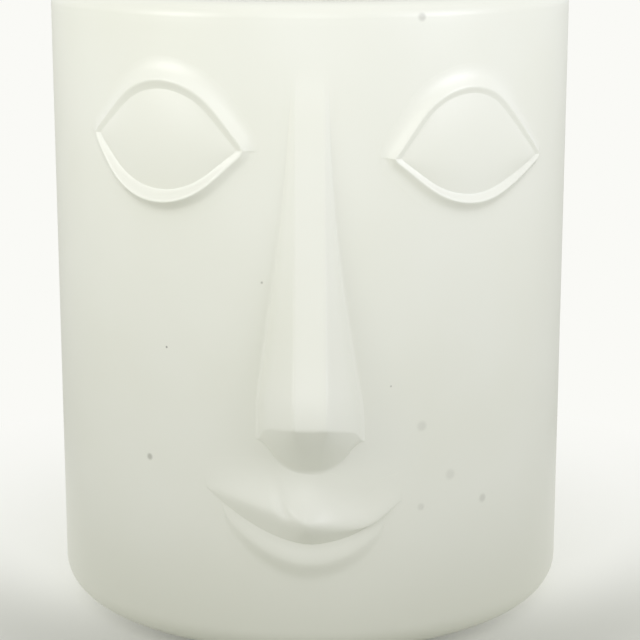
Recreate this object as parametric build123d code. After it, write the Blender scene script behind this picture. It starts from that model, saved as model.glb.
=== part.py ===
from build123d import *
import math
import os

# Face vase in glazed stoneware, in millimetres.
# The origin is at the middle of the foot, on the table. +Z is up and the face looks along -Y.
# Each piece is what a potter makes in soft clay and lutes to the next one with slip before firing.

# Body
body_diameter = 150.0
body_height = 180.0
wall_thickness = 6.0
base_thickness = 8.0
base_edge_radius = 8.0
floor_fillet = 8.0
rim_height = 6.0
rim_outer_radius = 4.2

# Half-lap joint of wall and base: the spigot's height, and the slip that fills the joint
lap_height = 4.0
slip_gap = 0.2

# Foot ring: how far it stands inside the flat underside, and its own section
foot_inset = 9.0
foot_width = 6.0
foot_height = 1.0
foot_edge_radius = 0.5

# Places of the face, measured down from the lip or up from the table.
# The sprigs were set by hand: a shift is towards +X, a roll lowers the +X side.
left_eye_drop = 37.3
right_eye_drop = 42.0
eye_shift = 2.7
left_eye_roll = 2.3
right_eye_roll = 3.5
nose_top_drop = 20.0
nose_foot_rise = 55.0
nose_shift = 0.3
mouth_rise = 35.0
mouth_shift = -1.6
mouth_roll = 3.8

# Eyes: almond openings with straight flanks and rounded peaks, and shallow balls.
# The flanks alone would meet higher than the rounded peak, by the peak's excess as a share of its rise,
# and off the middle towards +X by the peak's lean as a share of half the eye's width.
eye_gap = 43.8
left_eye_width = 43.6
right_eye_width = 47.0
left_upper_rise = 14.2
left_upper_excess = 0.55
left_upper_lean = 0.09
left_lower_rise = 12.6
left_lower_excess = 0.64
left_lower_lean = -0.03
right_upper_rise = 17.4
right_upper_excess = 0.5
right_upper_lean = -0.32
right_lower_rise = 9.6
right_lower_excess = 0.36
right_lower_lean = -0.2
eyeball_edge = 0.9
eyeball_bulge = 0.8

# Lids: a ridge round the opening, with a run up to its crest and a run down to the wall.
# Towards the nose and towards the outer corner a lid thins to these shares of its rise run, height, fall run.
upper_lid_rise_run = 2.8
upper_lid_height = 2.9
upper_lid_fall_run = 5.4
upper_lid_nose_shares = (0.72, 0.62, 0.7)
upper_lid_outer_shares = (0.56, 0.4, 0.56)
lower_lid_rise_run = 3.0
lower_lid_height = 2.5
lower_lid_fall_run = 4.0
lower_lid_nose_shares = (0.89, 0.45, 0.85)
lower_lid_outer_shares = (0.74, 0.69, 0.65)
left_lid_share = 1.0
right_lid_share = 0.9
lid_inner_share = 0.3
lid_crest_round = 0.3
lid_taper = 0.8
lid_overrun = 4.5

# Nose: a flat bridge that stands out more and more towards the tip, between two flaring flanks.
# Its relief grows evenly down the slope, with a kick near the tip, and from nose_round_start, a share of
# the way down, the bridge rolls in by nose_tip_round.
nose_bridge_width = 7.6
nose_bridge_round = 1.0
nose_root_flank = 1.2
nose_root_relief = 0.4
nose_slope_relief = 9.0
nose_wing_flank = 10.8
nose_wing_drop = 3.6
nose_tip_relief = 15.3
nose_round_start = 0.87
nose_tip_round = 2.6
nose_underside = 14.2
nose_foot_width = 9.0
nose_foot_flank = 3.0
nose_foot_relief = 0.5
nose_foot_round = 0.4
nose_flare_power = 1.3
nose_kick_power = 5.0

# Mouth: a smile whose corners rise above its middle. Towards them the lips thin to lip_corner_share.
# The upper lip's edge stands highest off the middle, by upper_lip_lean as a share of half the width.
mouth_width = 53.0
smile_rise = 12.3
left_smile_power = 1.7
right_smile_power = 2.1
mouth_slit = 0.2
upper_lip_edge_rise = 6.3
upper_lip_lean = 0.17
upper_lip_slope = 13.5
upper_lip_height = 4.4
upper_lip_round = 0.9
lower_lip_width = 44.5
lower_lip_crest_drop = 5.2
lower_lip_underside = 4.8
lower_lip_height = 1.9
lower_lip_round = 0.9
lip_inner_height = 0.7
lip_corner_share = 0.1

# How far a sprig's back, and its outer edge, are carried into the wall before the wall trims them
sprig_sink = 2.5
edge_sink = 0.25

# Sizes that follow from the ones above
body_radius = body_diameter / 2
bore_radius = body_radius - wall_thickness
floor_height = foot_height + base_thickness
joint_height = max(floor_height + floor_fillet, foot_height + base_edge_radius)
rim_bottom = body_height - rim_height
rim_round = min(rim_outer_radius, 0.8 * wall_thickness, rim_height)
nose_top = body_height - nose_top_drop
nose_tip = nose_foot_rise + nose_underside


# Body pieces, all turned about the vase's axis

def turned(*edges):
    return revolve(Plane.XZ * make_face(edges), axis=Axis.Z)


def quarter_turn(start, corner_centre, end):
    """Edge of a quarter circle about corner_centre, bulging away from it."""
    radius = math.dist(start, corner_centre)
    corner = Vector(*start) + Vector(*end) - Vector(*corner_centre)
    outward = (corner - Vector(*corner_centre)).normalized()
    return ThreePointArc(start, Vector(*corner_centre) + outward * radius, end)


def make_base_dish():
    lap_radius = body_radius - wall_thickness / 2
    flat_radius = body_radius - base_edge_radius
    edge_top = foot_height + base_edge_radius
    spigot_top = joint_height + lap_height
    fillet_top = floor_height + floor_fillet
    edge = quarter_turn((flat_radius, foot_height), (flat_radius, edge_top), (body_radius, edge_top))
    outside = Polyline(
        (body_radius, edge_top), (body_radius, joint_height), (lap_radius, joint_height),
        (lap_radius, spigot_top), (bore_radius, spigot_top), (bore_radius, fillet_top))
    inner_corner = quarter_turn(
        (bore_radius, fillet_top), (bore_radius - floor_fillet, fillet_top),
        (bore_radius - floor_fillet, floor_height))
    middle = Polyline(
        (bore_radius - floor_fillet, floor_height), (0, floor_height), (0, foot_height),
        (flat_radius, foot_height))
    return turned(*edge.edges(), *outside.edges(), *inner_corner.edges(), *middle.edges())


def make_vase_wall():
    recess_radius = body_radius - wall_thickness / 2 + slip_gap
    shoulder = joint_height + lap_height + slip_gap
    section = Polyline(
        (recess_radius, joint_height), (body_radius, joint_height), (body_radius, rim_bottom),
        (bore_radius, rim_bottom), (bore_radius, shoulder), (recess_radius, shoulder), close=True)
    return turned(*section.edges())


def make_rim_coil():
    inner_round = wall_thickness - rim_round
    crest_radius = bore_radius + inner_round
    outer = quarter_turn(
        (body_radius, body_height - rim_round), (crest_radius, body_height - rim_round),
        (crest_radius, body_height))
    inner = quarter_turn(
        (crest_radius, body_height), (crest_radius, body_height - inner_round),
        (bore_radius, body_height - inner_round))
    sides = Polyline(
        (bore_radius, body_height - inner_round), (bore_radius, rim_bottom),
        (body_radius, rim_bottom), (body_radius, body_height - rim_round))
    return turned(*outer.edges(), *inner.edges(), *sides.edges())


def make_foot_ring():
    outer_radius = body_radius - base_edge_radius - foot_inset
    section = Pos(outer_radius - foot_width / 2, foot_height / 2) * Rectangle(foot_width, foot_height)
    lower_corners = section.vertices().sort_by(Axis.Y)[:2]
    rounding = min(foot_edge_radius, foot_width / 3, foot_height / 2)
    return turned(*fillet(lower_corners, rounding).edges())


# Directions at an angle round the wall, counted from the front towards +X

def radial(angle):
    return Vector(math.sin(angle), -math.cos(angle), 0)


def tangent(angle):
    return Vector(math.cos(angle), math.sin(angle), 0)


wall_core = Cylinder(body_radius, body_height, align=(Align.CENTER, Align.CENTER, Align.MIN))


# Eyes

class AlmondHalf:
    """Upper or lower half of an eye's opening: two straight flanks and the arc that joins them."""

    def __init__(self, width, rise, excess, lean):
        half_width = width / 2
        self.half_width = half_width
        self.rise = rise
        self.peak = Vector(lean * half_width, rise * (1 + excess))
        self.climb = self.peak.Y / (half_width + self.peak.X)
        self.fall = self.peak.Y / (half_width - self.peak.X)
        climb_length = math.hypot(1, self.climb)
        fall_length = math.hypot(1, self.fall)
        bend = (climb_length - 1) / self.climb + (fall_length - 1) / self.fall
        self.radius = width * excess / (1 + excess) / bend
        self.centre = (rise + self.radius * (climb_length - 1)) / self.climb - half_width
        self.arc_start = self.centre - self.radius * self.climb / climb_length
        self.arc_end = self.centre + self.radius * self.fall / fall_length

    def height_and_slope(self, x):
        if x < self.arc_start:
            return (self.half_width + x) * self.climb, self.climb
        if x > self.arc_end:
            return (self.half_width - x) * self.fall, -self.fall
        depth = math.sqrt(self.radius ** 2 - (x - self.centre) ** 2)
        return self.rise - self.radius + depth, (self.centre - x) / depth


class Eye:
    """An eye on one side of the face, -1 or +1. Its plane touches the wall on the line of its corners."""

    def __init__(self, side, width, drop, roll, lid_share, upper_half, lower_half):
        angle = (side * (eye_gap + width) / 2 + eye_shift) / body_radius
        along = tangent(angle) * math.cos(math.radians(roll)) - Vector(0, 0, math.sin(math.radians(roll)))
        self.side = side
        self.width = width
        self.sideways = tangent(angle)
        self.plane = Plane(
            radial(angle) * body_radius + Vector(0, 0, body_height - drop), x_dir=along, z_dir=radial(angle))
        self.lid_share = lid_share
        self.upper_half = upper_half
        self.lower_half = lower_half

    def opening(self):
        """The almond opening as a prism that passes through the wall."""
        outline = FilletPolyline(
            (-self.width / 2, 0), (self.upper_half.peak.X, self.upper_half.peak.Y),
            (self.width / 2, 0), (self.lower_half.peak.X, -self.lower_half.peak.Y),
            radius=[0, self.upper_half.radius, 0, self.lower_half.radius], close=True)
        return extrude(self.plane * make_face(outline.edges()), amount=body_radius / 2, both=True)


def make_eyeball(eye):
    half_height = (eye.upper_half.rise + eye.lower_half.rise) / 2
    middle = (eye.upper_half.rise - eye.lower_half.rise) / 2
    ball_radius = (half_height ** 2 + eyeball_bulge ** 2) / (2 * eyeball_bulge)
    centre_depth = eyeball_edge + eyeball_bulge - ball_radius
    ball = eye.plane * Pos(0, middle, centre_depth) * Sphere(ball_radius)
    return (eye.opening() & ball) - wall_core


def lid_section(eye, lid, share, middle_size, nose_shares, outer_shares):
    """Cross-section of a lid's ridge, square to the opening's outline. lid is +1 upper, -1 lower."""
    plane = eye.plane
    half = eye.upper_half if lid > 0 else eye.lower_half
    x = share * eye.width / 2
    y, slope = half.height_and_slope(x)
    path = plane.x_dir + plane.y_dir * lid * slope
    flat_point = plane.origin + plane.x_dir * x + plane.y_dir * lid * y
    offset = (flat_point - plane.origin).dot(eye.sideways)
    depth = math.sqrt(body_radius ** 2 - offset ** 2)
    foot = flat_point - plane.z_dir * (body_radius - depth)
    outward = Vector(foot.X, foot.Y, 0).normalized()
    along = path - plane.z_dir * (path.dot(eye.sideways) * offset / depth)
    across = outward.cross(along).normalized() * lid
    fullness = math.cos(min(abs(share), 1) * math.pi / 2) ** lid_taper
    end_shares = nose_shares if share * eye.side < 0 else outer_shares
    rise_run, height, fall_run = (
        size * (end + (1 - end) * fullness) for size, end in zip(middle_size, end_shares))
    crest = height * eye.lid_share
    inner = -sprig_sink / 2
    outer = rise_run + fall_run
    outline = FilletPolyline(
        (inner, -sprig_sink), (inner, lid_inner_share * crest), (rise_run, crest),
        (outer, -edge_sink), (outer, -sprig_sink),
        radius=[0, 0, lid_crest_round * crest, 0, 0], close=True)
    return Plane(foot, x_dir=across, z_dir=along * lid) * make_face(outline.edges())


def make_eyelid(eye, lid, *sizes):
    end = 1 + lid_overrun / (eye.width / 2)
    shares = [-end, -0.95, -0.65, -0.35, 0, 0.35, 0.65, 0.95, end]
    ridge = loft([lid_section(eye, lid, share, *sizes) for share in shares])
    beyond_corners = Pos(0, lid * eye.width, 0) * Box(3 * eye.width, 2 * eye.width, 2 * body_radius)
    return (ridge & eye.plane * beyond_corners) - eye.opening() - wall_core


# Nose

def nose_section(height, relief, bridge_width, flank_width, rounding):
    """Slice of the nose that falls from the bridge to the wall: its flanks run on into the wall."""
    fall = math.atan2(nose_wing_drop, nose_tip_relief)
    slice_plane = Plane(
        (nose_shift, -body_radius - relief, height), x_dir=(1, 0, 0),
        z_dir=(0, math.sin(fall), math.cos(fall)))
    wall_half = bridge_width / 2 + flank_width
    wall_depth = body_radius + relief - math.sqrt(body_radius ** 2 - wall_half ** 2)
    flank = Vector(flank_width, wall_depth / math.cos(fall))
    end = Vector(bridge_width / 2, 0) + flank + flank.normalized() * sprig_sink
    outline = FilletPolyline(
        (-end.X, end.Y), (-bridge_width / 2, 0), (bridge_width / 2, 0), (end.X, end.Y),
        radius=[0, rounding, rounding, 0], close=True)
    return slice_plane * make_face(outline.edges())


def make_nose():
    kick_relief = nose_tip_relief - nose_slope_relief - nose_root_relief
    sections = []
    for share in (0, 0.15, 0.3, 0.45, 0.6, 0.75, nose_round_start, (1 + nose_round_start) / 2, 1):
        height = nose_top + (nose_tip - nose_top) * share
        rolled = max(share - nose_round_start, 0) / (1 - nose_round_start)
        relief = nose_root_relief + nose_slope_relief * share + kick_relief * share ** nose_kick_power
        flank = nose_root_flank + (nose_wing_flank - nose_root_flank) * share ** nose_flare_power
        sections.append(nose_section(
            height, relief - nose_tip_round * rolled ** 2, nose_bridge_width, flank, nose_bridge_round))
    sections.append(nose_section(
        nose_foot_rise, nose_foot_relief, nose_foot_width, nose_foot_flank, nose_foot_round))
    return loft(sections, ruled=True) - wall_core


# Mouth

def mouth_point(share):
    """Angle round the wall and height of the mouth line at a share of its half width."""
    across = share * mouth_width / 2
    smile_power = left_smile_power if share < 0 else right_smile_power
    height = mouth_rise + smile_rise * abs(share) ** smile_power
    return (across + mouth_shift) / body_radius, height - across * math.tan(math.radians(mouth_roll))


def lip_size(share, taper=1.0):
    """Share of its full size that a lip has there: whole at the middle, lip_corner_share at the ends."""
    fullness = max(math.cos(share * math.pi / 2), 0) ** taper
    return lip_corner_share + (1 - lip_corner_share) * fullness


def on_mouth_plane(angle, edges):
    """Stand a section, drawn as relief off the wall and height, in the upright plane at that angle."""
    upright = Plane(radial(angle) * body_radius, x_dir=radial(angle), z_dir=-tangent(angle))
    return upright * make_face(edges)


def upper_lip_section(share):
    angle, line = mouth_point(share)
    leaning = min((share + upper_lip_lean) / (1 - upper_lip_lean), 1)
    size = lip_size(share)
    bottom = line + mouth_slit / 2
    edge = bottom + upper_lip_edge_rise * lip_size(leaning)
    top = edge + upper_lip_slope * lip_size(share, taper=0.5)
    outline = FilletPolyline(
        (-sprig_sink, bottom), (lip_inner_height * size, bottom), (upper_lip_height * size, edge),
        (-edge_sink, top), (-sprig_sink, top),
        radius=[0, 0, upper_lip_round * lip_size(leaning) * size, 0, 0], close=True)
    return on_mouth_plane(angle, outline.edges())


def lower_lip_section(share):
    angle, line = mouth_point(share * lower_lip_width / mouth_width)
    size = lip_size(share, taper=0.25)
    relief_share = lip_size(share, taper=0.6)
    top = line - mouth_slit / 2
    crest = top - lower_lip_crest_drop * size
    bottom = crest - lower_lip_underside * size
    outline = FilletPolyline(
        (-sprig_sink, top), (lip_inner_height * relief_share, top), (lower_lip_height * relief_share, crest),
        (-edge_sink, bottom), (-sprig_sink, bottom),
        radius=[0, 0, lower_lip_round * relief_share, 0, 0], close=True)
    return on_mouth_plane(angle, outline.edges())


def make_lip(section):
    shares = [-1, -0.85, -0.6, -0.3, 0, 0.3, 0.6, 0.85, 1]
    return loft([section(share) for share in shares]) - wall_core


# Assembly

nose = make_nose()
upper_lip = make_lip(upper_lip_section) - nose
pieces = {
    "base_dish": make_base_dish(),
    "vase_wall": make_vase_wall(),
    "rim_coil": make_rim_coil(),
    "foot_ring": make_foot_ring(),
    "nose": nose,
    "upper_lip": upper_lip,
    "lower_lip": make_lip(lower_lip_section) - upper_lip,
}
eyes = {
    "left": Eye(
        -1, left_eye_width, left_eye_drop, left_eye_roll, left_lid_share,
        AlmondHalf(left_eye_width, left_upper_rise, left_upper_excess, left_upper_lean),
        AlmondHalf(left_eye_width, left_lower_rise, left_lower_excess, left_lower_lean)),
    "right": Eye(
        1, right_eye_width, right_eye_drop, right_eye_roll, right_lid_share,
        AlmondHalf(right_eye_width, right_upper_rise, right_upper_excess, right_upper_lean),
        AlmondHalf(right_eye_width, right_lower_rise, right_lower_excess, right_lower_lean)),
}
for name, eye in eyes.items():
    pieces[f"{name}_eyeball"] = make_eyeball(eye)
    pieces[f"{name}_upper_eyelid"] = make_eyelid(
        eye, 1, (upper_lid_rise_run, upper_lid_height, upper_lid_fall_run),
        upper_lid_nose_shares, upper_lid_outer_shares)
    pieces[f"{name}_lower_eyelid"] = make_eyelid(
        eye, -1, (lower_lid_rise_run, lower_lid_height, lower_lid_fall_run),
        lower_lid_nose_shares, lower_lid_outer_shares)

os.makedirs("parts", exist_ok=True)
for name, shape in pieces.items():
    export_step(shape, f"parts/{name}.step")
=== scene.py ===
import math

import bmesh
import bpy
from mathutils import Matrix, Vector


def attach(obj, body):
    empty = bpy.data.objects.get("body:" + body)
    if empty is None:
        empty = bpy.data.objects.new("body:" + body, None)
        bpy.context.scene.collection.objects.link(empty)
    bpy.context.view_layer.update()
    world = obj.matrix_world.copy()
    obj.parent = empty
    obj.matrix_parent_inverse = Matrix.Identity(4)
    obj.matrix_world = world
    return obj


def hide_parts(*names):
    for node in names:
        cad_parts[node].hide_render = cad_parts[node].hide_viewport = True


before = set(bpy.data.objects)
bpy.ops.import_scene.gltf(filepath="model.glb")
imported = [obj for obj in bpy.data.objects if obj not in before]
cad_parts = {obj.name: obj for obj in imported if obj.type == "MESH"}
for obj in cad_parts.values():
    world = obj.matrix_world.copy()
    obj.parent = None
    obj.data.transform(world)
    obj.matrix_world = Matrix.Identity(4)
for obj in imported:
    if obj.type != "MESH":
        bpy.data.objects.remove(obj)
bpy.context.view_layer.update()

# Face vase in satin-glazed stoneware. Sizes are in millimetres. The body has the solids' sizes. The face has
# their places, and reliefs that differ from theirs by up to about 2 mm.
# The pieces are modelled in millimetres and brought to metres when they take their place.
# +Z is up and the face looks along -Y.

MM = 0.001

# Body
body_radius = 75.0
body_height = 180.0
wall_thickness = 6.0
bore_radius = body_radius - wall_thickness
rim_bottom = 174.0
rim_outer_round = 4.2
joint_height = 17.0
lap_height = 4.0
slip_gap = 0.2
floor_height = 9.0
floor_fillet = 8.0
base_edge_round = 8.0
foot_outer_radius = 58.0
foot_width = 6.0
foot_height = 1.0
foot_edge_round = 0.5
wheel_steps = 192
round_segments = 10
same_place = 0.001
merge_distance = 0.002

# Sprigs: how often the clay is smoothed, the relief of an edge that runs out on the wall, how far a sprig's
# back stands inside the wall's face so that no gap shows round it, and the turn in degrees that looks smooth
clay_levels = 3
feather_relief = 0.03
seat = -0.1
smooth_turn = 40

# Eyes. The angle is round the wall from the front, a roll lowers the +X side. Each half of the opening has
# its rise, the share of that rise by which its flanks alone would meet higher than the rounded peak, and the
# share of half the eye's width by which they meet towards +X.
eyeball_edge = 0.9
eyeball_bulge = 0.75
eyeball_end_gap = 0.3
eyeball_lap = 0.2
left_eye = {"width": 43.6, "angle": -41.0 / body_radius, "height": 142.7, "roll": 2.3, "nose_side": 1,
            "lid_share": 1.0, "upper": (14.5, 0.55, 0.09), "lower": (12.6, 0.64, -0.03)}
right_eye = {"width": 47.0, "angle": 48.1 / body_radius, "height": 138.0, "roll": 3.5, "nose_side": -1,
             "lid_share": 0.75, "upper": (17.4, 0.5, -0.32), "lower": (9.6, 0.36, -0.2)}

# Ridge of a lid: run from the opening up to its crest, the crest's relief, and run down to the wall. The
# climb and the fall are shares of a run and of the relief. Near the corners a lid turns into its tail.
lid_climb = [(0.0, 0.06), (0.35, 0.34), (0.7, 0.78), (1.0, 1.0)]
upper_lid = {"middle": (2.4, 1.85, 4.7), "nose": (1.7, 1.45, 3.6), "nose_taper": 0.8,
             "outer": (1.5, 1.25, 3.0), "outer_taper": 1.6,
             "fall": [(0.1, 0.89), (0.25, 0.67), (0.45, 0.4), (0.7, 0.18), (1.0, 0.05), (1.3, 0.0)]}
lower_lid = {"middle": (3.0, 2.8, 4.2), "nose": (1.8, 1.4, 3.2), "nose_taper": 1.3,
             "outer": (1.7, 1.5, 2.6), "outer_taper": 0.8,
             "fall": [(0.1, 0.86), (0.3, 0.5), (0.5, 0.22), (0.7, 0.08), (1.0, 0.02), (1.3, 0.0)]}
lid_tail = (1.7, 1.4, 2.8)
lid_corner_start = 0.97
lid_inner_relief = 0.85
lid_lap = 0.9
lid_stations = [-1, -0.99, -0.98, -0.97, -0.9, -0.8, -0.68, -0.55, -0.42, -0.28, -0.14, 0,
                0.14, 0.28, 0.42, 0.55, 0.68, 0.8, 0.9, 0.97, 0.98, 0.99, 1]

# Nose. The relief grows evenly down the bridge, then with a kick, and is rounded off at the tip. The flanks
# flare from the root to the wings. Round the tip the wings tuck in, and their feet run on down beside the
# underside.
nose_top = 157.0
nose_tip = 70.0
nose_shift = 0.3
nose_bridge_half = 3.8
nose_root_relief = 0.3
nose_slope_relief = 5.0
nose_tip_relief = 14.0
nose_root_flank = 1.2
nose_wing_flank = 10.8
nose_wing_drop_left = 2.6
nose_wing_drop_right = 4.6
nose_kick_power = 3.2
nose_flare_left = 1.3
nose_flare_right = 1.9
nose_wing_tuck = 1.1
nose_tuck_power = 1.5
nose_wing_wrap_left = 4.0
nose_wing_wrap_right = 2.8
nose_wrap_power = 6
nose_tip_round = 1.5
nose_round_start = 0.9
nose_foot_half = 11.5
nose_foot_top = 62.8
nose_foot_depth = 8.0
nose_bowl_power = 0.6
nose_blend_share = 0.4
nose_feather = 1.2
nose_half = nose_bridge_half + nose_wing_flank - nose_wing_tuck + nose_feather

# Shoulder and fall of the nose's flank, as shares of the flank's width and of the relief
nose_shoulder = 0.6
nose_shoulder_share = 0.06
nose_shoulder_gap = 0.2
nose_flank_fall = [(0.32, 0.74), (0.62, 0.52), (0.86, 0.28), (1.0, 0.035)]

# Slices above the nose's top (height over it, relief, half the bridge, flank), down the bridge, and below
# the tip
nose_lead_in = [(6, feather_relief, 3.0, 2.0), (3, 0.1, 3.4, 1.6)]
nose_stations = [0, 0.1, 0.2, 0.3, 0.4, 0.5, 0.6, 0.7, 0.8, 0.86, 0.9, 0.93, 0.955, 0.98, 1.0]
nose_underside_stations = [0.05, 0.16, 0.4, 0.7, 0.9, 1.0, 1.12]

# Mouth. The bow is how much fuller the upper lip is near its middle, and the fold slants across its slope.
mouth_rise = 35.0
mouth_shift = -1.6
mouth_width = 53.0
mouth_roll = 3.8
smile_rise = 12.3
smile_power_left = 1.7
smile_power_right = 2.1
upper_lip_edge_rise = 6.3
upper_lip_slope = 13.5
upper_lip_relief = 4.0
upper_lip_relief_taper = 1.3
upper_lip_skew = 0.17
upper_lip_top_span = 0.8
upper_lip_top_taper = 0.6
lip_bow_base = 0.74
lip_bow_rise = 0.56
lip_bow_place = 0.04
lip_bow_left = 0.13
lip_bow_right = 0.19
lip_fold_foot = -0.16
lip_fold_slant = -0.2
lip_fold_depth = 0.3
lip_fold_width = 0.045
lower_lip_span = 0.84
lower_lip_crest_drop = 5.2
lower_lip_underside = 5.6
lower_lip_relief = 1.55
lower_lip_relief_taper = 0.9
lower_lip_size_taper = 0.25
lip_corner_share = 0.03
lip_stations = [-1, -0.96, -0.88, -0.77, -0.64, -0.52, -0.44, -0.38, -0.33, -0.28, -0.23, -0.18, -0.13, -0.08,
                -0.02, 0.05, 0.13, 0.22, 0.32, 0.43, 0.56, 0.68, 0.79, 0.88, 0.96, 1]

# Iron spots in the glaze: angle round the wall in degrees, height, radius, and darkness
iron_spots = [
    (-36, 55, 1.0, 0.42), (23, 176, 1.2, 0.3), (24, 66, 1.5, 0.14), (31, 51, 1.6, 0.12),
    (40, 42, 1.3, 0.2), (24, 43, 1.1, 0.14), (-31, 87, 0.35, 0.7), (17, 78, 0.3, 0.4)]

# White of the paper and of the room, as the camera sees them
backdrop_white = "#FAFAF6"


# Modelling

def start_piece(name):
    """Name the primitive that was just added and open it in edit mode."""
    piece = bpy.context.object
    piece.name = name
    piece.data.name = name
    bpy.ops.object.mode_set(mode="EDIT")
    return piece


def turn_on_wheel(name, section, rounds):
    """Draw a section as (radius, height) corners, round the named corners, and turn it about the axis."""
    bpy.ops.object.select_all(action="DESELECT")
    bpy.ops.mesh.primitive_circle_add(vertices=len(section), radius=1, fill_type="NGON")
    piece = start_piece(name)
    shape = bmesh.from_edit_mesh(piece.data)
    shape.verts.ensure_lookup_table()
    for vertex, (radius, height) in zip(shape.verts, section):
        vertex.co = (radius, 0, height)
    for corner, rounding in rounds.items():
        bpy.ops.mesh.select_all(action="DESELECT")
        select_vertices(piece, lambda co: (co - Vector((corner[0], 0, corner[1]))).length < same_place)
        bpy.ops.mesh.bevel(affect="VERTICES", offset=rounding, segments=round_segments, clamp_overlap=False)
    bpy.ops.mesh.select_all(action="SELECT")
    bpy.ops.mesh.delete(type="ONLY_FACE")
    bpy.ops.mesh.select_all(action="DESELECT")
    select_vertices(piece, lambda co: co.x < same_place)
    bpy.ops.mesh.delete(type="EDGE_FACE")
    bpy.ops.mesh.select_all(action="SELECT")
    bpy.ops.mesh.spin(steps=wheel_steps, angle=math.tau, center=(0, 0, 0), axis=(0, 0, 1))
    bpy.ops.mesh.select_all(action="SELECT")
    bpy.ops.mesh.remove_doubles(threshold=merge_distance)
    bpy.ops.mesh.normals_make_consistent(inside=False)
    bpy.ops.object.mode_set(mode="OBJECT")
    piece.data.transform(Matrix.Scale(MM, 4))
    return piece


def select_vertices(piece, wanted):
    """Select the vertices whose place is wanted, and the edges between them."""
    shape = bmesh.from_edit_mesh(piece.data)
    for vertex in shape.verts:
        if wanted(vertex.co):
            vertex.select = True
    shape.select_flush(True)
    bmesh.update_edit_mesh(piece.data)


def press_sprig(name, sections, edges):
    """Draw a closed section and extrude it from station to station, giving each station its own shape.

    Each section holds the front's points and then the back's. edges are the places in a section
    that stay sharp from end to end."""
    bpy.ops.object.select_all(action="DESELECT")
    bpy.ops.mesh.primitive_circle_add(vertices=len(sections[0]), radius=1, fill_type="NGON")
    piece = start_piece(name)
    shape = bmesh.from_edit_mesh(piece.data)
    rail = shape.verts.layers.int.new("rail")
    for place, vertex in enumerate(shape.verts):
        vertex[rail] = place
    for station, section in enumerate(sections):
        if station > 0:
            bpy.ops.mesh.extrude_region_move()
        shape = bmesh.from_edit_mesh(piece.data)
        rail = shape.verts.layers.int["rail"]
        for vertex in shape.verts:
            if vertex.select:
                vertex.co = section[vertex[rail]]
        bmesh.update_edit_mesh(piece.data)
    crease = shape.edges.layers.float.new("crease_edge")
    rail = shape.verts.layers.int["rail"]
    for edge in shape.edges:
        first, last = edge.verts
        along = first[rail] == last[rail] and first[rail] in edges
        at_end = any(len(face.verts) > 4 for face in edge.link_faces)
        edge[crease] = 1.0 if along or at_end else 0.0
    bpy.ops.mesh.select_all(action="SELECT")
    bpy.ops.mesh.normals_make_consistent(inside=False)
    bpy.ops.object.mode_set(mode="OBJECT")
    smoothing = piece.modifiers.new("soft clay", "SUBSURF")
    smoothing.levels = clay_levels
    smoothing.render_levels = clay_levels
    bpy.ops.object.modifier_apply(modifier=smoothing.name)
    piece.data.attributes.remove(piece.data.attributes["rail"])
    return piece


def lay_on_wall(piece, angle, height, roll=0.0):
    """Bend a flat sprig, with x across, y up and z off the wall, round the vase's wall at that place."""
    turn = math.radians(roll)
    for vertex in piece.data.vertices:
        across = vertex.co.x * math.cos(turn) + vertex.co.y * math.sin(turn)
        up = vertex.co.y * math.cos(turn) - vertex.co.x * math.sin(turn)
        place = angle + math.asin(across / body_radius)
        radius = body_radius + vertex.co.z
        vertex.co = Vector((radius * math.sin(place), -radius * math.cos(place), height + up)) * MM


def finish_piece(piece, material):
    """Smooth the shading except at real edges, give the finish, attach the piece to the root body and hide
    its solid.
    """
    bpy.ops.object.select_all(action="DESELECT")
    piece.select_set(True)
    bpy.context.view_layer.objects.active = piece
    bpy.ops.object.shade_smooth_by_angle(angle=math.radians(smooth_turn))
    piece.data.materials.clear()
    piece.data.materials.append(material)
    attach(piece, "root")
    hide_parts(piece.name.removesuffix("_visual"))


# Materials

def linear(hex_colour):
    """sRGB hex to a linear colour with alpha."""
    channels = [int(hex_colour[i:i + 2], 16) / 255 for i in (1, 3, 5)]
    return [c / 12.92 if c <= 0.04045 else ((c + 0.055) / 1.055) ** 2.4 for c in channels] + [1.0]


def add_node(material, kind, settings=None, inputs=None, links=None):
    """Add a node, set its properties and input values, and link its inputs from other nodes' outputs."""
    node = material.node_tree.nodes.new(kind)
    for key, value in (settings or {}).items():
        setattr(node, key, value)
    for key, value in (inputs or {}).items():
        node.inputs[key].default_value = value
    for key, source in (links or {}).items():
        material.node_tree.links.new(source, node.inputs[key])
    return node


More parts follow.
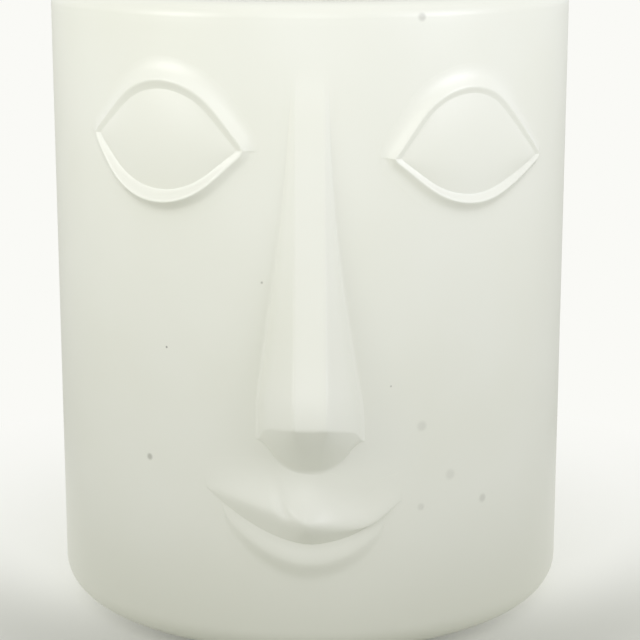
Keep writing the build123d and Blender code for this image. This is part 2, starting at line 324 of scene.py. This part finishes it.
def make_satin_glaze():
    """Warm white glaze with a soft sheen, a slow drift of tone, painted shade towards the foot, rare iron
    specks and a faint orange peel.
    """
    glaze = bpy.data.materials.new("satin_glaze")
    glaze.use_nodes = True
    links = glaze.node_tree.links
    shader = glaze.node_tree.nodes["Principled BSDF"]
    shader.inputs["IOR"].default_value = 1.5
    place = add_node(glaze, "ShaderNodeTexCoord").outputs["Object"]

    # Tone and sheen drift over about 4 cm. The tone is painted a shade deeper towards the foot, as shade
    # where less light reaches the wall low down, and is a shade deeper where the glaze draws thin on the rim
    drift = add_node(
        glaze, "ShaderNodeTexNoise", inputs={"Scale": 25.0, "Detail": 2.0}, links={"Vector": place})
    tone = add_node(
        glaze, "ShaderNodeMix", {"data_type": "RGBA"}, {6: linear("#E6E7DA"), 7: linear("#ECEDE4")},
        {0: drift.outputs["Fac"]})
    level = add_node(glaze, "ShaderNodeSeparateXYZ", links={"Vector": place}).outputs["Z"]
    # Painted shade: the tone darkens over the lowest 5 cm of the wall, in place of the light that falls off
    # there
    painted_low_shade = add_node(
        glaze, "ShaderNodeMapRange", {"interpolation_type": "SMOOTHSTEP"},
        {"From Min": 0.0, "From Max": 0.05, "To Min": 1.0, "To Max": 0.0}, {"Value": level})
    thin = add_node(
        glaze, "ShaderNodeMapRange", {"interpolation_type": "SMOOTHSTEP"},
        {"From Min": 0.1745, "From Max": 0.1785, "To Min": 0.0, "To Max": 0.5}, {"Value": level})
    # Mask of the painted shade low down and of the thin glaze on the rim
    painted_low_shade_and_thin_rim = add_node(
        glaze, "ShaderNodeMath", {"operation": "MAXIMUM"},
        links={0: painted_low_shade.outputs["Result"], 1: thin.outputs["Result"]})
    tone = add_node(
        glaze, "ShaderNodeMix", {"data_type": "RGBA"}, {7: linear("#DDDED1")},
        {0: painted_low_shade_and_thin_rim.outputs["Value"], 6: tone.outputs[2]})
    sheen = add_node(
        glaze, "ShaderNodeMapRange", inputs={"To Min": 0.30, "To Max": 0.38},
        links={"Value": drift.outputs["Fac"]})
    links.new(sheen.outputs["Result"], shader.inputs["Roughness"])

    # Rare small specks all over, one cell in twenty of a 12 mm mesh
    cells = add_node(glaze, "ShaderNodeTexVoronoi", inputs={"Scale": 80.0}, links={"Vector": place})
    chance = add_node(glaze, "ShaderNodeSeparateColor", links={"Color": cells.outputs["Color"]})
    reach = add_node(
        glaze, "ShaderNodeMapRange",
        inputs={"From Min": 0.955, "From Max": 1.0, "To Min": 0.0, "To Max": 0.04},
        links={"Value": chance.outputs["Red"]})
    inside = add_node(
        glaze, "ShaderNodeMath", {"operation": "SUBTRACT"},
        links={0: reach.outputs["Result"], 1: cells.outputs["Distance"]})
    dark = add_node(
        glaze, "ShaderNodeMapRange", inputs={"From Min": 0.0, "From Max": 0.02, "To Min": 0.0, "To Max": 0.5},
        links={"Value": inside.outputs["Value"]}).outputs["Result"]

    # The larger spots on the front
    for angle, height, radius, strength in iron_spots:
        turn = math.radians(angle)
        spot = Vector((body_radius * math.sin(turn), -body_radius * math.cos(turn), height)) * MM
        far = add_node(glaze, "ShaderNodeVectorMath", {"operation": "DISTANCE"}, {1: spot}, {0: place})
        spot_dark = add_node(
            glaze, "ShaderNodeMapRange", {"interpolation_type": "SMOOTHSTEP"},
            {"From Min": 0.4 * radius * MM, "From Max": 1.3 * radius * MM, "To Min": strength, "To Max": 0.0},
            {"Value": far.outputs["Value"]})
        dark = add_node(
            glaze, "ShaderNodeMath", {"operation": "MAXIMUM"},
            links={0: dark, 1: spot_dark.outputs["Result"]}).outputs["Value"]
    spotted = add_node(
        glaze, "ShaderNodeMix", {"data_type": "RGBA"}, {7: linear("#6F6C60")},
        {0: dark, 6: tone.outputs[2]})
    links.new(spotted.outputs[2], shader.inputs["Base Color"])

    # Hand-smoothed unevenness of a tenth of a millimetre, and the finer skin of the glaze
    wave = add_node(
        glaze, "ShaderNodeTexNoise", inputs={"Scale": 30.0, "Detail": 1.0}, links={"Vector": place})
    slow = add_node(
        glaze, "ShaderNodeBump", inputs={"Distance": 0.0002, "Strength": 1.0},
        links={"Height": wave.outputs["Fac"]})
    peel = add_node(
        glaze, "ShaderNodeTexNoise", inputs={"Scale": 600.0, "Detail": 2.0}, links={"Vector": place})
    fine = add_node(
        glaze, "ShaderNodeBump", inputs={"Distance": 0.00001, "Strength": 1.0},
        links={"Height": peel.outputs["Fac"], "Normal": slow.outputs["Normal"]})
    links.new(fine.outputs["Normal"], shader.inputs["Normal"])
    return glaze


def make_bare_stoneware():
    """Unglazed foot: buff fired clay, matt, with sand grit that shows as darker grains and a rough touch."""
    clay = bpy.data.materials.new("bare_stoneware")
    clay.use_nodes = True
    links = clay.node_tree.links
    shader = clay.node_tree.nodes["Principled BSDF"]
    shader.inputs["Roughness"].default_value = 0.85
    place = add_node(clay, "ShaderNodeTexCoord").outputs["Object"]
    grit = add_node(
        clay, "ShaderNodeTexNoise", inputs={"Scale": 900.0, "Detail": 4.0}, links={"Vector": place})
    grain = add_node(
        clay, "ShaderNodeMapRange", inputs={"From Min": 0.35, "From Max": 0.7},
        links={"Value": grit.outputs["Fac"]})
    tone = add_node(
        clay, "ShaderNodeMix", {"data_type": "RGBA"}, {6: linear("#D6CDBB"), 7: linear("#B4A78F")},
        {0: grain.outputs["Result"]})
    links.new(tone.outputs[2], shader.inputs["Base Color"])
    rough = add_node(
        clay, "ShaderNodeBump", inputs={"Distance": 0.00008, "Strength": 1.0},
        links={"Height": grit.outputs["Fac"]})
    links.new(rough.outputs["Normal"], shader.inputs["Normal"])
    return clay


def make_table_paper():
    """Pale paper that glows behind and beside the vase, as painted light from below, and looks white further
    off.
    """
    paper = bpy.data.materials.new("white_paper")
    paper.use_nodes = True
    links = paper.node_tree.links
    shader = paper.node_tree.nodes["Principled BSDF"]
    shader.inputs["Base Color"].default_value = linear("#C8C9C0")
    shader.inputs["Roughness"].default_value = 0.9
    shader.inputs["Emission Color"].default_value = (1, 1, 1, 1)
    place = add_node(paper, "ShaderNodeTexCoord").outputs["Object"]
    # Painted light: the paper itself glows in a ring behind and beside the vase, in place of a lamp below it
    from_back = add_node(
        paper, "ShaderNodeVectorMath", {"operation": "DISTANCE"}, {1: (0, 0.08, 0)}, {0: place})
    painted_glow = add_node(
        paper, "ShaderNodeMapRange", {"interpolation_type": "SMOOTHSTEP"},
        {"From Min": 0.11, "From Max": 0.165, "To Min": 0.36, "To Max": 0.0},
        {"Value": from_back.outputs["Value"]})
    links.new(painted_glow.outputs["Result"], shader.inputs["Emission Strength"])
    from_vase = add_node(paper, "ShaderNodeVectorMath", {"operation": "LENGTH"}, links={0: place})
    fade = add_node(
        paper, "ShaderNodeMapRange", {"interpolation_type": "SMOOTHSTEP"},
        {"From Min": 0.07, "From Max": 0.2, "To Min": 0.0, "To Max": 1.0},
        {"Value": from_vase.outputs["Value"]})
    ray = add_node(paper, "ShaderNodeLightPath")
    seen = add_node(
        paper, "ShaderNodeMath", {"operation": "MULTIPLY"},
        links={0: fade.outputs["Result"], 1: ray.outputs["Is Camera Ray"]})
    white = add_node(paper, "ShaderNodeEmission", inputs={"Color": linear(backdrop_white)})
    mixed = add_node(paper, "ShaderNodeMixShader", links={
        0: seen.outputs["Value"], 1: shader.outputs["BSDF"], 2: white.outputs["Emission"]})
    links.new(mixed.outputs["Shader"], paper.node_tree.nodes["Material Output"].inputs["Surface"])
    return paper


satin_glaze = make_satin_glaze()
bare_stoneware = make_bare_stoneware()


# Body pieces

def make_vase_wall():
    recess = body_radius - wall_thickness / 2 + slip_gap
    shoulder = joint_height + lap_height + slip_gap
    return turn_on_wheel("vase_wall_visual", [
        (recess, joint_height), (body_radius, joint_height), (body_radius, rim_bottom),
        (bore_radius, rim_bottom), (bore_radius, shoulder), (recess, shoulder)], {})


def make_base_dish():
    lap = body_radius - wall_thickness / 2
    spigot = joint_height + lap_height
    return turn_on_wheel("base_dish_visual", [
        (0, foot_height), (body_radius, foot_height), (body_radius, joint_height), (lap, joint_height),
        (lap, spigot), (bore_radius, spigot), (bore_radius, floor_height), (0, floor_height)], {
        (body_radius, foot_height): base_edge_round, (bore_radius, floor_height): floor_fillet})


def make_rim_coil():
    inner_round = wall_thickness - rim_outer_round
    return turn_on_wheel("rim_coil_visual", [
        (bore_radius, rim_bottom), (body_radius, rim_bottom),
        (body_radius, body_height), (bore_radius, body_height)], {
        (body_radius, body_height): rim_outer_round, (bore_radius, body_height): inner_round})


def make_foot_ring():
    inner = foot_outer_radius - foot_width
    return turn_on_wheel("foot_ring_visual", [
        (inner, 0), (foot_outer_radius, 0), (foot_outer_radius, foot_height), (inner, foot_height)], {
        (inner, 0): foot_edge_round, (foot_outer_radius, 0): foot_edge_round})


# Eyes

def almond_edge(half, width, x):
    """Height and slope of half an eye's opening at x: two straight flanks joined by a round peak."""
    rise, excess, shift = half
    half_width = width / 2
    climb = rise * (1 + excess) / (half_width * (1 + shift))
    fall = rise * (1 + excess) / (half_width * (1 - shift))
    climb_lean = math.hypot(1, climb)
    fall_lean = math.hypot(1, fall)
    bend = width * excess / (1 + excess) / ((climb_lean - 1) / climb + (fall_lean - 1) / fall)
    centre = (rise + bend * (climb_lean - 1)) / climb - half_width
    if x < centre - bend * climb / climb_lean:
        return (half_width + x) * climb, climb
    if x > centre + bend * fall / fall_lean:
        return (half_width - x) * fall, -fall
    depth = math.sqrt(bend ** 2 - (x - centre) ** 2)
    return rise - bend + depth, (centre - x) / depth


def lid_profile(fall, rise_run, height, fall_run):
    """Points across a lid's ridge: distance from the eye's opening, and relief off the wall."""
    points = [(-lid_lap, lid_inner_relief)]
    points += [(rise_run * t, lid_inner_relief + (height - lid_inner_relief) * h) for t, h in lid_climb]
    points += [(rise_run + fall_run * t, max(height * h, feather_relief)) for t, h in fall]
    return points


def make_eyelid(name, eye, side, lid):
    """A lid's ridge along its half of the eye's opening. side is +1 for the upper lid, -1 for the lower."""
    half = eye["upper"] if side > 0 else eye["lower"]
    sections = []
    for share in lid_stations:
        x = share * eye["width"] / 2
        y, slope = almond_edge(half, eye["width"], x)
        flank = "nose" if share * eye["nose_side"] > 0 else "outer"
        fullness = max(math.cos(share * math.pi / 2), 0) ** lid[f"{flank}_taper"]
        ridge = Vector(lid[flank]).lerp(Vector(lid["middle"]), fullness)
        ridge = Vector((ridge.x * eye["lid_share"], max(ridge.y * eye["lid_share"], lid_tail[1]), ridge.z))
        corner = max(abs(share) - lid_corner_start, 0) / (1 - lid_corner_start)
        profile = lid_profile(lid["fall"], *ridge.lerp(Vector(lid_tail), corner))
        endward = Vector((math.copysign(1, share), 0))
        outward = Vector((-slope, 1)).normalized().lerp(endward, corner).normalized()
        front = [(x + outward.x * reach, side * (y + outward.y * reach), relief) for reach, relief in profile]
        back = [(*front[-1][:2], seat), (*front[0][:2], seat)]
        sections.append(front + back)
    count = len(sections[0])
    piece = press_sprig(name, sections, {0, count - 3, count - 2, count - 1})
    lay_on_wall(piece, eye["angle"], eye["height"], eye["roll"])
    return piece


def make_eyeball(name, eye):
    """A shallow pillow that fills the almond opening and runs a little way under the lids."""
    columns, rows = 61, 41
    bpy.ops.object.select_all(action="DESELECT")
    bpy.ops.mesh.primitive_grid_add(x_subdivisions=columns - 1, y_subdivisions=rows - 1, size=2)
    piece = start_piece(name)
    shape = bmesh.from_edit_mesh(piece.data)
    for vertex in shape.verts:
        x = vertex.co.x * (eye["width"] / 2 - eyeball_end_gap)
        half = eye["upper"] if vertex.co.y > 0 else eye["lower"]
        y = vertex.co.y * (almond_edge(half, eye["width"], x)[0] + eyeball_lap)
        swell = eyeball_bulge * (1 - vertex.co.x ** 4) * (1 - vertex.co.y ** 2)
        vertex.co = (x, y, eyeball_edge + swell)
    bpy.ops.mesh.select_all(action="SELECT")
    bpy.ops.mesh.region_to_loop()
    bpy.ops.mesh.extrude_region_move()
    shape = bmesh.from_edit_mesh(piece.data)
    for vertex in shape.verts:
        if vertex.select:
            vertex.co.z = seat
    bmesh.update_edit_mesh(piece.data)
    bpy.ops.mesh.fill_grid(span=columns - 1)
    bpy.ops.mesh.select_all(action="SELECT")
    bpy.ops.mesh.normals_make_consistent(inside=False)
    bpy.ops.object.mode_set(mode="OBJECT")
    lay_on_wall(piece, eye["angle"], eye["height"], eye["roll"])
    return piece


# Nose

def nose_flank(relief, bridge_half, flank):
    """Points from the bridge's edge down one flank to the wall, with a full slope and a tight foot."""
    points = [
        (bridge_half - nose_shoulder, 1.0), (bridge_half, 0.99),
        (bridge_half + nose_shoulder_share * flank + nose_shoulder_gap, 0.94)]
    points += [(bridge_half + width * flank, share) for width, share in nose_flank_fall]
    points.append((bridge_half + flank + nose_feather, 0.0))
    return [(across, max(relief * share, feather_relief)) for across, share in points]


def nose_slice(height, relief, bridge_half, left_flank, right_flank, rolled=0.0):
    """A slice from side to side over the bridge, with the wings hanging lower than the bridge.

    rolled is how far the slice is round the tip, where the feet of the wings run on down."""
    left = [(-across, off) for across, off in reversed(nose_flank(relief, bridge_half, left_flank))]
    front = []
    for across, off in left + [(0, relief)] + nose_flank(relief, bridge_half, right_flank):
        wing_drop = nose_wing_drop_left if across < 0 else nose_wing_drop_right
        wrap = nose_wing_wrap_left if across < 0 else nose_wing_wrap_right
        drop = (relief - off) * wing_drop / nose_tip_relief
        drop += wrap * rolled ** 2 * (1 - off / relief) ** nose_wrap_power
        front.append((across, height - drop, off))
    back = [(*front[-1][:2], seat), (*front[0][:2], seat)]
    return front + back


def nose_underside(point, share):
    """A point of the tip's slice brought down and in towards the curve where the underside meets the wall."""
    across, height, off = point
    foot_across = across * nose_foot_half / nose_half
    bowl = nose_foot_depth * (1 - min(abs(foot_across) / nose_foot_half, 1) ** 2) ** nose_bowl_power
    foot_rise = nose_foot_top - bowl
    rounded = nose_tip_relief * max(1 - (across / nose_half) ** 2, 0)
    off += (rounded - off) * min(share / nose_blend_share, 1) if off > 1 else 0
    relief = seat if off == seat else max(off * (1 - share), feather_relief)
    return across + (foot_across - across) * share, height + (foot_rise - height) * share, relief


def make_nose():
    slices = [
        nose_slice(nose_top + rise, relief, bridge_half, flank, flank)
        for rise, relief, bridge_half, flank in nose_lead_in]
    kick = nose_tip_relief - nose_slope_relief - nose_root_relief
    for share in nose_stations:
        height = nose_top + (nose_tip - nose_top) * share
        relief = nose_root_relief + nose_slope_relief * share + kick * share ** nose_kick_power
        rolled = max(share - nose_round_start, 0) / (1 - nose_round_start)
        relief -= nose_tip_round * rolled ** 2
        tuck = nose_wing_tuck * rolled ** nose_tuck_power
        left_flank, right_flank = (
            nose_root_flank + (nose_wing_flank - nose_root_flank) * share ** flare - tuck
            for flare in (nose_flare_left, nose_flare_right))
        slices.append(nose_slice(height, relief, nose_bridge_half, left_flank, right_flank, rolled))
    tip = slices[-1]
    for share in nose_underside_stations:
        slices.append([nose_underside(point, share) for point in tip])
    count = len(slices[0])
    piece = press_sprig("nose_visual", slices, {0, count - 3, count - 2, count - 1})
    lay_on_wall(piece, nose_shift / body_radius, 0)
    return piece


# Mouth

def mouth_line(share):
    """Place across the wall and height of the mouth's line at a share of its half width."""
    across = share * mouth_width / 2
    power = smile_power_left if share < 0 else smile_power_right
    height = mouth_rise + smile_rise * abs(share) ** power - across * math.tan(math.radians(mouth_roll))
    return across + mouth_shift, height


def lip_size(share, taper=1):
    """How full a lip is at a share of its half width: 1 in the middle, and thin at the corners."""
    return lip_corner_share + (1 - lip_corner_share) * max(math.cos(share * math.pi / 2), 0) ** taper


def make_upper_lip():
    underside = [(0.0, 0.2), (0.35, 0.48), (0.7, 0.78), (1.0, 0.96)]
    slope = [(0.1, 1.0), (0.24, 0.8), (0.45, 0.42), (0.68, 0.15), (0.9, 0.03), (1.15, 0.0)]
    sections = []
    for share in lip_stations:
        across, line = mouth_line(share)
        skewed = min((share + upper_lip_skew) / (1 - upper_lip_skew), 1)
        edge = line + upper_lip_edge_rise * lip_size(skewed)
        top = edge + upper_lip_slope * lip_size(share * upper_lip_top_span, taper=upper_lip_top_taper)
        bow_width = lip_bow_left if share < lip_bow_place else lip_bow_right
        bow = lip_bow_base + lip_bow_rise * math.exp(-((share - lip_bow_place) / bow_width) ** 2)
        relief = upper_lip_relief * bow * lip_size(share, taper=upper_lip_relief_taper)
        front = [(across, line + (edge - line) * t, relief * h) for t, h in underside]
        for t, h in slope:
            from_fold = share - lip_fold_foot - lip_fold_slant * t
            fold = lip_fold_depth * math.exp(-(from_fold / lip_fold_width) ** 2)
            front.append((across, edge + (top - edge) * t, max(relief * h * (1 - fold), feather_relief)))
        sections.append(front + [(across, front[-1][1], seat), (across, line, seat)])
    count = len(sections[0])
    piece = press_sprig("upper_lip_visual", sections, {0, count - 3, count - 2, count - 1})
    lay_on_wall(piece, 0, 0)
    return piece


def make_lower_lip():
    inner = [(0.0, 0.35), (0.3, 0.5), (0.65, 0.82), (1.0, 1.03)]
    underside = [(0.2, 0.95), (0.45, 0.64), (0.72, 0.26), (0.96, 0.06), (1.2, 0.02), (1.4, 0.0)]
    sections = []
    for share in lip_stations:
        across, line = mouth_line(share * lower_lip_span)
        size = lip_size(share, taper=lower_lip_size_taper)
        crest = line - lower_lip_crest_drop * size
        relief = lower_lip_relief * lip_size(share, taper=lower_lip_relief_taper)
        front = [(across, line + (crest - line) * t, relief * h) for t, h in inner]
        front += [
            (across, crest - lower_lip_underside * size * t, max(relief * h, feather_relief))
            for t, h in underside]
        sections.append(front + [(across, front[-1][1], seat), (across, line, seat)])
    count = len(sections[0])
    piece = press_sprig("lower_lip_visual", sections, {0, count - 3, count - 2, count - 1})
    lay_on_wall(piece, 0, 0)
    return piece


for piece in (
        make_vase_wall(), make_base_dish(), make_rim_coil(), make_nose(), make_upper_lip(), make_lower_lip()):
    finish_piece(piece, satin_glaze)
finish_piece(make_foot_ring(), bare_stoneware)
for side, eye in (("left", left_eye), ("right", right_eye)):
    finish_piece(make_eyeball(f"{side}_eyeball_visual", eye), satin_glaze)
    upper = make_eyelid(f"{side}_upper_eyelid_visual", eye, 1, upper_lid)
    finish_piece(upper, satin_glaze)
    lower = make_eyelid(f"{side}_lower_eyelid_visual", eye, -1, lower_lid)
    finish_piece(lower, satin_glaze)


# Stage

def make_table():
    bpy.ops.object.select_all(action="DESELECT")
    bpy.ops.mesh.primitive_circle_add(vertices=96, radius=4.0, fill_type="NGON")
    table = bpy.context.object
    table.name = "table"
    table.data.materials.append(make_table_paper())


def add_softbox(name, place, target, width, height, power, spread, tint=(1, 1, 1)):
    lamp = bpy.data.lights.new(name, "AREA")
    lamp.shape = "RECTANGLE"
    lamp.size = width
    lamp.size_y = height
    lamp.energy = power
    lamp.color = tint
    lamp.spread = math.radians(spread)
    softbox = bpy.data.objects.new(name, lamp)
    bpy.context.scene.collection.objects.link(softbox)
    softbox.location = place
    softbox.rotation_euler = (Vector(target) - Vector(place)).to_track_quat("-Z", "Y").to_euler()


def light_world(strength):
    """Even light from all round, which the camera alone sees as the white of the paper."""
    world = bpy.data.worlds.new("studio")
    bpy.context.scene.world = world
    world.use_nodes = True
    ray = add_node(world, "ShaderNodeLightPath")
    shown = add_node(
        world, "ShaderNodeMix", {"data_type": "RGBA"},
        {6: (strength, strength, strength, 1), 7: linear(backdrop_white)}, {0: ray.outputs["Is Camera Ray"]})
    world.node_tree.links.new(shown.outputs[2], world.node_tree.nodes["Background"].inputs["Color"])


def aim_camera():
    camera = bpy.data.objects.new("camera", bpy.data.cameras.new("camera"))
    bpy.context.scene.collection.objects.link(camera)
    camera.location = (0.00289, -0.5898, 0.2171)
    camera.rotation_euler = (math.radians(90 - 13.13), 0, 0)
    camera.data.sensor_width = 36.0
    camera.data.lens = 112.5
    camera.data.clip_start = 0.01
    camera.data.clip_end = 20.0
    bpy.context.scene.camera = camera


make_table()
add_softbox("left", (-0.50, -0.30, 0.32), (0, 0, 0.205), 0.4, 0.25, 0.138, 45)
add_softbox("right", (0.50, -0.30, 0.32), (0, 0, 0.205), 0.4, 0.25, 0.147, 45, (0.98, 0.99, 1.12))
add_softbox("front", (0.0, -0.65, 0.36), (0, -0.06, 0.22), 0.6, 0.25, 0.068, 35)
light_world(0.816)
aim_camera()
bpy.context.scene.view_settings.view_transform = "Standard"
